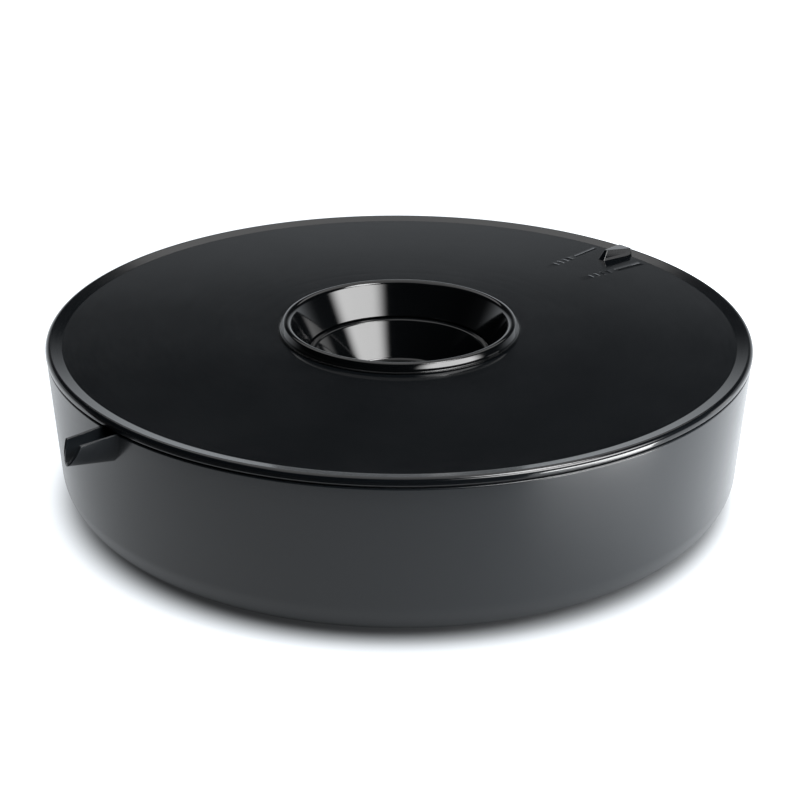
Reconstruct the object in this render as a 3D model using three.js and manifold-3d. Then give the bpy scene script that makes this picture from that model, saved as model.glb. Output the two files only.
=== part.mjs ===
// A parasol stand that is filled with water or sand: a low round tub with a pouring spout, a flat
// lid that lifts off with its funnel collar and turns on it, and a well that takes the pole.
// Millimetres, +Z up. The origin is on the ground, under the centre of the stand.
import * as THREE from 'three';
import { mergeVertices } from 'three/addons/utils/BufferGeometryUtils.js';
import Module from 'manifold-3d';

const wasm = await Module();
wasm.setup();

// ---------------------------------------------------------------- driving dimensions

const WALL = 3;                 // thickness of the mouldings
const GAP = 0.3;                // clearance between neighbouring pieces
const BIG_SIDES = 64;           // facets round the tub and the lid
const MID_SIDES = 40;           // facets round the collar and the well
const SMALL_SIDES = 20;         // facets round the pole tube and the feet
const FIXING_SIDES = 12;        // facets round a screw or a screw hole

const LID_RADIUS = 250;
const LID_TOP = 117.5;          // the lid's flat top above the ground
const LID_PLATE = 3.2;          // thickness of the lid's flat plate
const RIM_RISE = 2;             // how far the lid's rim stands above its flat top
const RIM_ROLL = 3;             // radius of the roll round the lid's edge
const COVE_WIDTH = 9.5;         // width of the hollow curve inside that roll
const LID_BORE = 80.4;          // radius of the hole for the funnel's neck
const LID_RIB_RADII = [114, 136];
const LID_RIB_THICK = 2;
const LID_RIB_DEPTH = 6;
const LID_SPOKES = 12;
const SKIRT_OUTER = 244;        // the ring under the lid that closes the spout
const SKIRT_THICK = 2.8;
const SKIRT_DEPTH = 22;         // from the lid's underside to the ring's lower edge
const SKIRT_WINDOW = 34;        // width of the window in that ring
const SKIRT_BRIDGE = 3;         // what is left of the ring above its window

const TUB_BASE = 2;             // underside of the tub above the ground
const TUB_BASE_RADIUS = 242.6;  // where the wall's line would meet the underside
const TUB_RIM_RADIUS = 249.5;
const TUB_FILLET = 27.5;        // outside radius between wall and underside
const RIM_ROUND = 1.2;
const SEAL_RADII = [245.4, 248.4];
const SEAL_THICK = 0.8;
const SEAL_GAP = 0.25;
const RECESS_RADIUS = 100;      // the middle of the tub's floor is raised, clear of the ground
const RECESS_RISE = 4;
const POLE_SEAT_RADIUS = 18.5;  // the boss inside the pole tube that the pole stands on
const POLE_SEAT_RISE = 1.5;

const COLLAR_BEAD_RADIUS = 80.9; // centre line of the roll round the funnel's mouth
const COLLAR_BEAD_ROUND = 4.3;
const COLLAR_BEAD_CENTRE = 2.2;  // height of the roll's centre above the lid's top
const COLLAR_FOOT_RADIUS = 86.6;
const NECK_RADIUS = 80;
const NECK_DEPTH = 13;
const NECK_THICK = 2.2;
const CONE_END_RADIUS = 66;
const CONE_DEPTH = 17.5;
const BEAD_INNER_ANGLE = 153;    // where the roll runs into the cone, in degrees from outwards
const COLLAR_CUT = 2.6;          // the cone's outside meets the neck this far below the lid's top
const WASHER_RADII = [80.5, 96];
const WASHER_THICK = 1;
const NUT_RADII = [80.4, 92];
const NUT_CLEAR = 0.5;           // how far the nut stops above the neck's lower edge
const NUT_LUGS = 8;
const NUT_LUG = { length: 5, width: 8, centre: 93 };

const LEDGE_OUTER = 71;          // the step inside the funnel is the top of the well
const LEDGE_INNER = 60.6;
const LEDGE_STEP_RADIUS = 65.5;  // outside this the ledge drops, under the end of the cone
const LEDGE_STEP = 0.5;
const LEDGE_ROUND = 1.2;
const LEDGE_SEAM = 0.6;
const CUP_FLOOR_RADIUS = 49;
const CUP_DEPTH = 44.5;          // from the lid's top down to the cup's floor
const WELL_NECK_LENGTH = 13;     // the neck under the cup that holds the pole tube's top
const WELL_FOOT_RADIUS = 74;
const WELL_FLANGE_RADIUS = 92;
const WELL_FLANGE_THICK = 3.5;
const SEAL_GROOVE = { inner: 86, outer: 89.4, depth: 1.6 };

const POLE_BORE = 19;            // radius of the hole for the pole, inside the grip ring
const TUBE_INNER = 20;
const TUBE_OUTER = 22.2;
const TUBE_FIT = 0.4;
const GRIP_LENGTH = 22;          // how far the grip ring's sleeve goes down the tube
const GRIP_FLANGE_RADIUS = 29;

const SPOUT_AZIMUTH = 222.5;     // degrees from +X, anticlockwise seen from above
const SPOUT_TIP_RADIUS = 277;    // reach of its lips from the stand's axis
const SPOUT_KEEL_REACH = 6;      // how far its lowest edge runs on past the lips
const SPOUT_ROOT_HALF_WIDTH = 9.6;
const SPOUT_TIP_HALF_WIDTH = 8.5;
const SPOUT_ROOT_DEPTH = 21.5;
const SPOUT_TIP_DEPTH = 14.5;
const SPOUT_SHELL = 2.2;
const SPOUT_ROUNDNESS = 1.6;     // 1 is a V section, 2 a half ellipse

const POINTER_AZIMUTH = SPOUT_AZIMUTH - 180;
const POINTER_INNER_RADIUS = 216;
const POINTER_OUTER_RADIUS = 243;
const POINTER_HALF_WIDTHS = [1.3, 6.5];  // of its top, at its inner and outer ends
const POINTER_HEIGHTS = [7.2, 5];
const POINTER_DRAFT = 13;       // slope of its sides, in degrees

const SCREW_COUNT = 4;
const SCREW_CIRCLE = 82;
const SCREW_START = 45;          // azimuth of the first screw
const SCREW_RADIUS = 1.6;
const SCREW_HEAD_RADIUS = 4.2;
const SCREW_HOLES = { floor: 2.3, boss: 2 };
const BOSS_RADIUS = 4.6;
const BOSS_HEIGHT = 11;
const FOOT_COUNT = 6;
const FOOT_CIRCLE = 190;
const FOOT_RADIUS = 14;

// ---------------------------------------------------------------- derived heights

const LID_UNDER = LID_TOP - LID_PLATE;
const SKIRT_BASE = LID_UNDER - SKIRT_DEPTH;
const WASHER_TOP = LID_UNDER - GAP;
const NUT_TOP = WASHER_TOP - WASHER_THICK - GAP;
const TUB_RIM = LID_UNDER - SEAL_THICK - 2 * SEAL_GAP;
const TAPER = Math.atan2(TUB_RIM_RADIUS - TUB_BASE_RADIUS, TUB_RIM - TUB_BASE);
const FLOOR_UNDER = TUB_BASE + RECESS_RISE;
const FLOOR_TOP = FLOOR_UNDER + WALL;
const CONE_END = LID_TOP - CONE_DEPTH;
const LEDGE_TOP = CONE_END - LEDGE_SEAM;
const CUP_FLOOR = LID_TOP - CUP_DEPTH;
const FLANGE_BASE = FLOOR_TOP + GAP;
const FLANGE_TOP = FLANGE_BASE + WELL_FLANGE_THICK;
const BOSS_TOP = FLANGE_TOP + BOSS_HEIGHT;

const degrees = Math.PI / 180;

// ---------------------------------------------------------------- shape helpers

// Points of an arc from one angle to another, in degrees, as [radius, height] pairs.
function arc(centre, radius, from, to, steps) {
  return Array.from({ length: steps + 1 }, (_, i) => {
    const a = (from + ((to - from) * i) / steps) * degrees;
    return [centre[0] + radius * Math.cos(a), centre[1] + radius * Math.sin(a)];
  });
}

// Turns a closed triangle mesh into a solid, with its faces pointing out.
function solid(source) {
  const bare = source.index ? source.clone() : mergeVertices(source);
  bare.deleteAttribute('normal');
  bare.deleteAttribute('uv');
  const merged = mergeVertices(bare, 1e-4);
  const place = merged.attributes.position;
  const index = merged.index.array;
  const corners = [];
  let volume = 0;
  const [a, b, c] = [new THREE.Vector3(), new THREE.Vector3(), new THREE.Vector3()];
  for (let i = 0; i < index.length; i += 3) {
    const [p, q, r] = index.slice(i, i + 3);
    if (p === q || q === r || r === p) continue;
    corners.push(p, q, r);
    a.fromBufferAttribute(place, p);
    b.fromBufferAttribute(place, q);
    c.fromBufferAttribute(place, r);
    volume += a.dot(b.cross(c));
  }
  if (volume < 0) corners.reverse();
  return new wasm.Manifold(new wasm.Mesh({
    numProp: 3,
    vertProperties: new Float32Array(place.array),
    triVerts: new Uint32Array(corners),
  }));
}

// Turns an outline of [radius, height] pairs round the Z axis. A ring's outline is closed.
function turned(outline, sides, closed = false) {
  const points = closed ? [...outline, outline[0]] : outline;
  const profile = points.map(([r, z]) => new THREE.Vector2(r, z));
  return solid(new THREE.LatheGeometry(profile, sides).rotateX(Math.PI / 2));
}

function ring(inner, outer, bottom, top, sides) {
  return turned([[inner, bottom], [outer, bottom], [outer, top], [inner, top]], sides, true);
}

function block(sizes, centre, azimuth = 0) {
  const box = new THREE.BoxGeometry(...sizes);
  box.translate(...centre);
  return solid(box.rotateZ(azimuth * degrees));
}

function rod(radius, bottom, top, x, y) {
  const cylinder = new THREE.CylinderGeometry(radius, radius, top - bottom, FIXING_SIDES);
  cylinder.rotateX(Math.PI / 2);
  return solid(cylinder.translate(x, y, (bottom + top) / 2));
}

// An upright plate: an outline of [radius, height] pairs, of the given thickness, at an azimuth.
function rib(outline, thickness, azimuth) {
  const shape = new THREE.Shape(outline.map(([r, z]) => new THREE.Vector2(r, z)));
  const plate = new THREE.ExtrudeGeometry(shape, { depth: thickness, bevelEnabled: false });
  plate.rotateX(Math.PI / 2);
  plate.translate(0, thickness / 2, 0);
  return solid(plate.rotateZ(azimuth * degrees));
}

// A closed solid through convex outlines with equal numbers of points, capped at both ends.
function loft(outlines, azimuth) {
  const count = outlines[0].length;
  const last = (outlines.length - 1) * count;
  const triangles = [];
  for (let k = 0; k < last; k += count) {
    for (let i = 0; i < count; i += 1) {
      const j = (i + 1) % count;
      triangles.push(k + i, k + j, k + count + j, k + i, k + count + j, k + count + i);
    }
  }
  for (let i = 1; i < count - 1; i += 1) {
    triangles.push(0, i + 1, i, last, last + i, last + i + 1);
  }
  const geometry = new THREE.BufferGeometry();
  geometry.setAttribute('position', new THREE.Float32BufferAttribute(outlines.flat(2), 3));
  geometry.setIndex(triangles);
  return solid(geometry.rotateZ(azimuth * degrees));
}

function onCircle(radius, count, k, start = 0) {
  const a = (start + (360 * k) / count) * degrees;
  return [radius * Math.cos(a), radius * Math.sin(a)];
}

const screwSpots = Array.from({ length: SCREW_COUNT }, (_, k) => (
  onCircle(SCREW_CIRCLE, SCREW_COUNT, k, SCREW_START)
));
const joined = (pieces) => pieces.reduce((whole, piece) => whole.add(piece));
const cut = (body, tools) => tools.reduce((rest, tool) => rest.subtract(tool), body);
const each = (count, make) => Array.from({ length: count }, (_, k) => make(k));

// ---------------------------------------------------------------- materials

const plastic = (roughness) => new THREE.MeshStandardMaterial({
  color: 0x1b1e20, roughness, metalness: 0,
});
const satinBlack = plastic(0.38);
const glossBlack = plastic(0.16);
const rubber = new THREE.MeshStandardMaterial({ color: 0x111213, roughness: 0.85, metalness: 0 });
const pipeGrey = new THREE.MeshStandardMaterial({ color: 0x3b3f42, roughness: 0.5, metalness: 0 });
const steel = new THREE.MeshStandardMaterial({ color: 0xb4b7ba, roughness: 0.3, metalness: 1 });

const stand = new THREE.Group();

function place(name, shape, material) {
  const { vertProperties, triVerts } = shape.getMesh();
  const geometry = new THREE.BufferGeometry();
  geometry.setAttribute('position', new THREE.BufferAttribute(vertProperties, 3));
  geometry.setIndex(new THREE.BufferAttribute(triVerts, 1));
  geometry.computeVertexNormals();
  const mesh = new THREE.Mesh(geometry, material);
  mesh.name = name;
  stand.add(mesh);
}

// ---------------------------------------------------------------- tub

// Section of the spout at a distance from the axis, open at the top: a rounded V.
function spoutSection(reach, halfWidth, depth, { slant = 0, above = 0 } = {}) {
  const steps = 8;
  const power = 2 / SPOUT_ROUNDNESS;
  const trough = Array.from({ length: steps + 1 }, (_, i) => {
    const a = (Math.PI * i) / steps;
    const across = -Math.sign(Math.cos(a)) * Math.abs(Math.cos(a)) ** power * halfWidth;
    const down = Math.sin(a) ** power;
    return [reach + slant * down, across, TUB_RIM - down * depth];
  });
  return above ? [...trough, [reach, halfWidth, TUB_RIM + above], [reach, -halfWidth, TUB_RIM + above]]
    : trough;
}

// A section where the spout's own taper puts it, from its root at the rim to its tip and beyond.
function spoutAt(reach, shrink, options) {
  const along = (reach - TUB_RIM_RADIUS) / (SPOUT_TIP_RADIUS - TUB_RIM_RADIUS);
  const halfWidth = THREE.MathUtils.lerp(SPOUT_ROOT_HALF_WIDTH, SPOUT_TIP_HALF_WIDTH, along);
  const depth = THREE.MathUtils.lerp(SPOUT_ROOT_DEPTH, SPOUT_TIP_DEPTH, along);
  return spoutSection(reach, halfWidth - shrink, depth - shrink, options);
}

function tub() {
  const radiusAt = (z) => TUB_BASE_RADIUS + (z - TUB_BASE) * Math.tan(TAPER);
  const turn = TAPER / degrees;
  const filletCentre = [
    TUB_BASE_RADIUS - (TUB_FILLET * (1 - Math.sin(TAPER))) / Math.cos(TAPER),
    TUB_BASE + TUB_FILLET,
  ];
  const inside = TUB_FILLET - WALL;
  const outer = TUB_RIM_RADIUS - RIM_ROUND;
  const shell = turned([
    [0, FLOOR_UNDER],
    [RECESS_RADIUS, FLOOR_UNDER],
    [RECESS_RADIUS + RECESS_RISE, TUB_BASE],
    ...arc(filletCentre, TUB_FILLET, -90, -turn, 6),
    ...arc([outer, TUB_RIM - RIM_ROUND], RIM_ROUND, 0, 90, 3),
    [TUB_RIM_RADIUS - WALL + 0.4, TUB_RIM],
    [radiusAt(TUB_RIM - 0.4) - WALL, TUB_RIM - 0.4],
    ...arc(filletCentre, inside, -turn, -90, 4),
    [RECESS_RADIUS + RECESS_RISE + WALL, TUB_BASE + WALL],
    [RECESS_RADIUS + WALL, FLOOR_TOP],
    [0, FLOOR_TOP],
  ], BIG_SIDES);
  const root = TUB_RIM_RADIUS - WALL + 1;
  const spout = loft([
    spoutAt(root, 0),
    spoutAt(SPOUT_TIP_RADIUS, 0, { slant: SPOUT_KEEL_REACH }),
  ], SPOUT_AZIMUTH);
  const channel = loft([
    spoutAt(root - 2 * WALL, SPOUT_SHELL, { above: WALL }),
    spoutAt(SPOUT_TIP_RADIUS + 2 * SPOUT_KEEL_REACH, SPOUT_SHELL, { above: WALL }),
  ], SPOUT_AZIMUTH);
  const seatTop = FLOOR_TOP + POLE_SEAT_RISE;
  const seat = turned([
    [0, FLOOR_TOP - 1], [POLE_SEAT_RADIUS, FLOOR_TOP - 1], [POLE_SEAT_RADIUS, seatTop], [0, seatTop],
  ], SMALL_SIDES);
  const holes = screwSpots.map(([x, y]) => rod(SCREW_HOLES.floor, FLOOR_UNDER - 1, FLOOR_TOP + 1, x, y));
  return cut(joined([shell, spout, seat]), [channel, ...holes]);
}

// ---------------------------------------------------------------- lid

function lid() {
  const crest = LID_TOP + RIM_RISE;
  const rollRadius = LID_RADIUS - RIM_ROLL;
  const coveEnd = rollRadius - RIM_ROLL;
  const ribBase = LID_UNDER - LID_RIB_DEPTH;
  const halfRib = LID_RIB_THICK / 2;
  const circularRibs = LID_RIB_RADII.flatMap((radius) => [
    [radius - halfRib, LID_UNDER], [radius - halfRib, ribBase],
    [radius + halfRib, ribBase], [radius + halfRib, LID_UNDER],
  ]);
  const plate = turned([
    [LID_BORE, LID_UNDER],
    ...circularRibs,
    [LID_RADIUS - 0.9, LID_UNDER],
    [LID_RADIUS, LID_UNDER + 0.9],
    ...arc([rollRadius, crest - RIM_ROLL], RIM_ROLL, 0, 115, 5),
    [coveEnd, crest - 0.9],
    [coveEnd - COVE_WIDTH / 3, crest - 1.5],
    [coveEnd - COVE_WIDTH, LID_TOP],
    [LID_BORE, LID_TOP],
  ], BIG_SIDES, true);
  const spokeStart = Math.max(...LID_RIB_RADII);
  const spokeEnd = SKIRT_OUTER - 2 * SKIRT_THICK;
  const spokeTurn = 360 / LID_SPOKES;
  const spokes = each(LID_SPOKES, (k) => rib([
    [spokeStart, LID_UNDER + 0.5],
    [spokeStart, ribBase],
    [spokeEnd - LID_RIB_DEPTH, ribBase],
    [spokeEnd, LID_UNDER + 0.5],
  ], LID_RIB_THICK, POINTER_AZIMUTH + spokeTurn * (k + 0.5)));
  const pointerSection = (radius, halfWidth, height) => {
    const halfBase = halfWidth + (height + 1) * Math.tan(POINTER_DRAFT * degrees);
    return [
      [radius, -halfBase, LID_TOP - 1], [radius, halfBase, LID_TOP - 1],
      [radius, halfWidth, LID_TOP + height], [radius, -halfWidth, LID_TOP + height],
    ];
  };
  const pointer = loft([
    pointerSection(POINTER_INNER_RADIUS, POINTER_HALF_WIDTHS[0], POINTER_HEIGHTS[0]),
    pointerSection(POINTER_OUTER_RADIUS, POINTER_HALF_WIDTHS[1], POINTER_HEIGHTS[1]),
  ], POINTER_AZIMUTH);
  return joined([plate, ...spokes, pointer]);
}

// Hangs just under the lid, inside the tub's wall, with one window under the pointer.
function lidSkirt() {
  const band = ring(SKIRT_OUTER - SKIRT_THICK, SKIRT_OUTER, SKIRT_BASE, LID_UNDER - GAP, BIG_SIDES);
  const windowTop = LID_UNDER - SKIRT_BRIDGE;
  const window = block(
    [3 * SKIRT_THICK, SKIRT_WINDOW, SKIRT_DEPTH],
    [SKIRT_OUTER - SKIRT_THICK / 2, 0, windowTop - SKIRT_DEPTH / 2],
    POINTER_AZIMUTH,
  );
  return cut(band, [window]);
}

// ---------------------------------------------------------------- funnel collar and its nut

function funnelCollar() {
  const beadCentre = [COLLAR_BEAD_RADIUS, LID_TOP + COLLAR_BEAD_CENTRE];
  const bead = arc(beadCentre, COLLAR_BEAD_ROUND, 0, BEAD_INNER_ANGLE, 8);
  const [mouthRadius, mouthTop] = bead[bead.length - 1];
  const slope = (mouthRadius - CONE_END_RADIUS) / (mouthTop - CONE_END);
  const across = WALL / Math.cos(Math.atan(slope));
  const gapTop = LID_TOP - COLLAR_CUT;
  const coneOuter = (z) => CONE_END_RADIUS + (z - CONE_END) * slope + across;
  const neckInner = NECK_RADIUS - NECK_THICK;
  return turned([
    [NECK_RADIUS, LID_TOP + GAP],
    [COLLAR_FOOT_RADIUS, LID_TOP + GAP],
    [COLLAR_FOOT_RADIUS - 1, LID_TOP + 3 * GAP],
    ...bead,
    [CONE_END_RADIUS, CONE_END],
    [coneOuter(CONE_END), CONE_END],
    [coneOuter(gapTop), gapTop],
    [neckInner, gapTop],
    [neckInner, LID_TOP - NECK_DEPTH],
    [NECK_RADIUS, LID_TOP - NECK_DEPTH],
  ], MID_SIDES, true);
}

function slipWasher() {
  return ring(...WASHER_RADII, WASHER_TOP - WASHER_THICK, WASHER_TOP, MID_SIDES);
}

function collarNut() {
  const bottom = LID_TOP - NECK_DEPTH + NUT_CLEAR;
  const height = NUT_TOP - bottom;
  const turn = 360 / NUT_LUGS;
  const body = ring(...NUT_RADII, bottom, NUT_TOP, MID_SIDES);
  const lugs = each(NUT_LUGS, (k) => block(
    [NUT_LUG.length, NUT_LUG.width, height],
    [NUT_LUG.centre, 0, bottom + height / 2],
    turn * (k + 0.5),
  ));
  return joined([body, ...lugs]);
}

function rimSeal() {
  const bottom = TUB_RIM + SEAL_GAP;
  return ring(...SEAL_RADII, bottom, bottom + SEAL_THICK, BIG_SIDES);
}

// ---------------------------------------------------------------- well and pole tube

function poleWell() {
  const neckInner = TUBE_OUTER + TUBE_FIT;
  const neckOuter = neckInner + WALL;
  const neckBase = CUP_FLOOR - WELL_NECK_LENGTH;
  const cupUnder = CUP_FLOOR - WALL;
  const shell = turned([
    [neckInner, CUP_FLOOR],
    [CUP_FLOOR_RADIUS - 3, CUP_FLOOR],
    [CUP_FLOOR_RADIUS - 0.8, CUP_FLOOR + 0.8],
    [CUP_FLOOR_RADIUS, CUP_FLOOR + 3],
    ...arc([LEDGE_INNER + LEDGE_ROUND, LEDGE_TOP - LEDGE_ROUND], LEDGE_ROUND, 180, 90, 2),
    [LEDGE_STEP_RADIUS, LEDGE_TOP],
    [LEDGE_STEP_RADIUS, LEDGE_TOP - LEDGE_STEP],
    [LEDGE_OUTER - 1, LEDGE_TOP - LEDGE_STEP],
    [LEDGE_OUTER, LEDGE_TOP - LEDGE_STEP - 1],
    [WELL_FOOT_RADIUS, FLANGE_TOP],
    [WELL_FLANGE_RADIUS, FLANGE_TOP],
    [WELL_FLANGE_RADIUS, FLANGE_BASE],
    [SEAL_GROOVE.outer, FLANGE_BASE],
    [SEAL_GROOVE.outer, FLANGE_BASE + SEAL_GROOVE.depth],
    [SEAL_GROOVE.inner, FLANGE_BASE + SEAL_GROOVE.depth],
    [SEAL_GROOVE.inner, FLANGE_BASE],
    [WELL_FOOT_RADIUS - WALL, FLANGE_BASE],
    [LEDGE_OUTER - WALL, LEDGE_TOP - WALL],
    [LEDGE_INNER + WALL, LEDGE_TOP - WALL],
    [CUP_FLOOR_RADIUS + WALL, CUP_FLOOR],
    [CUP_FLOOR_RADIUS, cupUnder],
    [neckOuter, cupUnder],
    [neckOuter, neckBase],
    [neckInner, neckBase],
  ], MID_SIDES, true);
  const bosses = screwSpots.map(([x, y]) => rod(BOSS_RADIUS, FLANGE_TOP - 1, BOSS_TOP, x, y));
  const holes = screwSpots.map(([x, y]) => rod(SCREW_HOLES.boss, FLANGE_BASE - 1, BOSS_TOP - 2, x, y));
  return cut(joined([shell, ...bosses]), holes);
}

function wellSeal() {
  const { inner, outer, depth } = SEAL_GROOVE;
  return ring(inner + GAP, outer - GAP, FLANGE_BASE, FLANGE_BASE + depth - GAP, MID_SIDES);
}

function poleTube() {
  return ring(TUBE_INNER, TUBE_OUTER, FLOOR_TOP + GAP, CUP_FLOOR - GAP, SMALL_SIDES);
}

function gripRing() {
  const flangeBase = CUP_FLOOR + GAP;
  const sleeveBase = CUP_FLOOR - GRIP_LENGTH;
  return turned([
    [POLE_BORE, sleeveBase],
    [TUBE_INNER - GAP, sleeveBase],
    [TUBE_INNER - GAP, flangeBase],
    [GRIP_FLANGE_RADIUS, flangeBase],
    [GRIP_FLANGE_RADIUS, flangeBase + 1.6],
    [GRIP_FLANGE_RADIUS - 1.2, flangeBase + 2.4],
    [POLE_BORE + 1.6, flangeBase + 3.4],
    [POLE_BORE, flangeBase + 2.2],
  ], SMALL_SIDES, true);
}

function wellScrew(x, y) {
  const headTop = FLOOR_UNDER - GAP;
  const outline = [
    [0, headTop - 2.4], [2.6, headTop - 2.4], [SCREW_HEAD_RADIUS, headTop - 1.2],
    [SCREW_HEAD_RADIUS, headTop], [SCREW_RADIUS, headTop], [SCREW_RADIUS, BOSS_TOP - 3.5],
    [0, BOSS_TOP - 2.6],
  ];
  return turned(outline, FIXING_SIDES).translate([x, y, 0]);
}

function foot(x, y) {
  const top = TUB_BASE - GAP;
  const outline = [[0, 0], [FOOT_RADIUS - 0.6, 0], [FOOT_RADIUS, 0.6], [FOOT_RADIUS, top], [0, top]];
  return turned(outline, SMALL_SIDES).translate([x, y, 0]);
}

// ---------------------------------------------------------------- assembly

place('tub', tub(), satinBlack);
place('lid', lid(), satinBlack);
place('lid_skirt', lidSkirt(), satinBlack);
place('rim_seal', rimSeal(), rubber);
place('funnel_collar', funnelCollar(), glossBlack);
place('slip_washer', slipWasher(), pipeGrey);
place('collar_nut', collarNut(), satinBlack);
place('pole_well', poleWell(), glossBlack);
place('well_seal', wellSeal(), rubber);
place('pole_tube', poleTube(), pipeGrey);
place('grip_ring', gripRing(), rubber);
screwSpots.forEach(([x, y], k) => place(`well_screw_${k + 1}`, wellScrew(x, y), steel));
for (let k = 0; k < FOOT_COUNT; k += 1) {
  place(`foot_${k + 1}`, foot(...onCircle(FOOT_CIRCLE, FOOT_COUNT, k)), rubber);
}

export default stand;
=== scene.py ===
"""A fillable parasol stand: a low black tub with a pouring spout, under a flat lid with a funnel.

Each CAD node is replaced by a finely rounded piece with a procedural finish. Its dimensions are the
CAD's, but three outlines are shaped a little differently to catch the light: the slope inside the
lid's rim, the outer face of the funnel's bead and the pointer's nose. Lengths in the shapes are
millimetres, as in the CAD, and become metres when a mesh is made. The set around them is in metres.
"""

import math

import bmesh
import bpy
from mathutils import Matrix, Quaternion, Vector


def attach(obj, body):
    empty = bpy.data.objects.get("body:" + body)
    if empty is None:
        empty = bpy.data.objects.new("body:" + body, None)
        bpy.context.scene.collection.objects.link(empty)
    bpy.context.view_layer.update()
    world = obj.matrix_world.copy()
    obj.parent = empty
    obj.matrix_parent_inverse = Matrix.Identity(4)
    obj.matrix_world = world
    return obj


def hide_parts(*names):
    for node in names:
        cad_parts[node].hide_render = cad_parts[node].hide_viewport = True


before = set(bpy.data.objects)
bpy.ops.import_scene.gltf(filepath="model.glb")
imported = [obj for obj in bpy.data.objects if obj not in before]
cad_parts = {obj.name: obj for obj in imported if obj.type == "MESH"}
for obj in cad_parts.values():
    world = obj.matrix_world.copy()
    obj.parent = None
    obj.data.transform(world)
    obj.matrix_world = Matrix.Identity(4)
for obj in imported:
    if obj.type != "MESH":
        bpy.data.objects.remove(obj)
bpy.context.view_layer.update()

MM = 0.001
LOOK_SHARP = math.radians(32)     # edges that turn by more than this stay crisp
LARGE_SIDES = 288                 # sides of the tub's, the lid's and the skirt's circles
CUP_SIDES = 224
RING_SIDES = 160
TUBE_SIDES = 96

# ------------------------------------------------------------------ dimensions, in mm as in the CAD

CLEARANCE = 0.3                   # gap left between most parts that meet
LID_RADIUS = 250.0
LID_TOP = 117.5
LID_UNDER = 114.3
RIM_CREST = 119.5
RIM_ROLL = 3.0
COVE_WIDTH = 9.5
RIM_SLOPE = 14.0                  # degrees, inside the roll
RIB_DEPTH = 6.0                   # how far the ribs hang down under the lid
RIB_RINGS = (114.0, 136.0)
SPOKE_INNER = 135.5
SPOKE_OUTER = 232.4
SPOKE_COUNT = 12
SINK_MARKS = (                    # faint rings where the moulding sank: radius and depth
    (100.0, 0.004), (114.0, 0.007), (125.0, 0.004), (136.0, 0.005), (190.0, 0.002),
)
SINK_WIDTH = 1.8
SKIRT_OUTER = 244.0
SKIRT_INNER = 241.2
SKIRT_TOP = 114.0
SKIRT_BASE = 92.3
SKIRT_WINDOW = 34.0
BORE = 80.4                       # hole in the lid for the funnel's neck
SEAL_INNER = 245.4
SEAL_OUTER = 248.4
SEAL_BASE = 113.25
SEAL_TOP = 114.05

TUB_BASE = 2.0
TUB_BASE_RADIUS = 242.6
TUB_RIM_RADIUS = 249.5
TUB_RIM = 113.0
TUB_WALL = 3.0
TUB_FILLET = 27.5
RECESS_RADIUS = 100.0
FLOOR_UNDER = 6.0
FLOOR_TOP = 9.0
POLE_SEAT = 18.5
SEAT_TOP = FLOOR_TOP + 1.5

BEAD_RADIUS = 80.9
BEAD_ROUND = 4.3
BEAD_HEIGHT = 119.7
BEAD_CROWN = 0.06                 # how far the bead's flatter outer face stands off its chord
COLLAR_FOOT = 86.6
NECK_OUTER = 80.0
NECK_INNER = 77.8
NECK_BASE = 104.5
CONE_END = 100.0
CONE_END_RADIUS = 66.0
CONE_WALL = 3.0
WASHER_INNER = 80.5
WASHER_OUTER = 96.0
WASHER_BASE = 113.0
WASHER_TOP = 114.0
NUT_INNER = NECK_OUTER + 0.4
NUT_OUTER = 92.0
NUT_BASE = 105.0
NUT_TOP = 112.7
NUT_LUGS = 8

LEDGE_TOP = 99.4
LEDGE_OUTER = 71.0
LEDGE_STEP = 65.5
LEDGE_INNER = 60.6
CUP_FLOOR = 73.0
CUP_FLOOR_RADIUS = 47.4
FLANGE_BASE = 9.3
FLANGE_TOP = 12.8
FLANGE_RADIUS = 92.0
WELL_FOOT = 74.0
WELL_WALL = 3.0
SLEEVE_DEPTH = 13.0               # from the cup's floor down round the pole tube
GROOVE_INNER = 86.0               # the flange's groove for its seal
GROOVE_OUTER = 89.4
GROOVE_DEPTH = 1.6
BOSS_RADIUS = 4.6
BOSS_TOP = FLANGE_TOP + 11

TUBE_INNER = 20.0
TUBE_OUTER = 22.2
POLE_BORE = 19.0
GRIP_DEPTH = 22.0
GRIP_FLANGE = 29.0
GRIP_RIDGES = 6

SPOUT_AZIMUTH = 222.5
SPOUT_TIP = 277.0
SPOUT_SHELL = 2.2
SPOUT_HALF_WIDTHS = (9.6, 8.5)    # at the tub's wall and at the tip
SPOUT_DEPTHS = (21.5, 14.5)
SPOUT_SLANT = 6.0                 # how far the tip's lower end stands out beyond its top
SPOUT_POWER = 1.25                # 1 gives half an ellipse, and more comes closer to a V
SPOUT_STEPS = 28

POINTER_AZIMUTH = 42.5
POINTER_NOSE = (219.5, 1.3, 7.2)  # radius, half width at the top, and height
POINTER_TAIL = (243.0, 6.5, 5.0)
POINTER_EDGE = 0.5                # rounding of its top edges
POINTER_FLANK = 13.0              # degrees, its sides off the upright
NOSE_LEAN = 0.75                  # how much its nose slopes back for its height
LONG_MARK = (28.0, 2.2)           # length and width
LONG_MARK_RADIUS = 220.0
SHORT_MARK = (7.5, 2.6)
SHORT_MARK_RADII = (182.0, 188.0, 194.0, 200.0)
MARK_AZIMUTHS = (POINTER_AZIMUTH - 6.3, POINTER_AZIMUTH + 5.4)
MARK_HEIGHT = 0.2

SCREW_CIRCLE = 82.0
SHANK = 1.6
HEAD_RADIUS = 4.2
HEAD_DEPTH = 2.4
CROSS_HALVES = (2.1, 0.45)        # half length and half width of each slot of the cross
THREAD_DEPTH = 0.28
THREAD_PITCH = 1.1
FOOT_CIRCLE = 190.0
FOOT_RADIUS = 14.0
FOOT_TOP = 1.7
FOOT_GROOVES = (9.6, 6.2, 2.8)


# ------------------------------------------------------------------ outlines

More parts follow.
